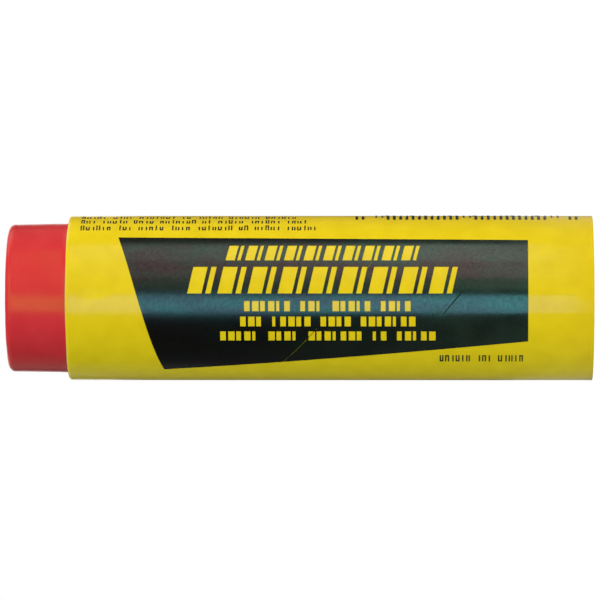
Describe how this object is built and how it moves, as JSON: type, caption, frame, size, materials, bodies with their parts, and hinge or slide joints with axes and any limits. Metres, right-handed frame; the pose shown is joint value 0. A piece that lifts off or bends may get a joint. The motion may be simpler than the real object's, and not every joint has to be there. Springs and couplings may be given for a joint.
{
  "type": "solid paint marker",
  "caption": "Thick stick of solid paint in a wound board sleeve with a printed paper label, used like a crayon to mark surfaces.",
  "frame": {"origin": "centre of the sleeve's tail rim, on the marker's axis", "axes": "+Z along the marker toward its bare nose, -Y out of the front of the print, +X toward the head of its lettering rows"},
  "size_m": [0.0282, 0.0282, 0.1002],
  "materials": {
    "paint": "waxy solid paint with a soft sheen",
    "board": "grey-brown wound board, raw at the cut ends",
    "label": "yellow coated paper, semi-gloss",
    "ink": "black printing ink, semi-gloss"
  },
  "bodies": {
    "root": {"paint_stick": "paint", "wound_tube": "board", "label_wrap": "label", "panel_print": "ink", "fine_print": "ink", "bar_print": "ink"}
  },
  "joints": []
}
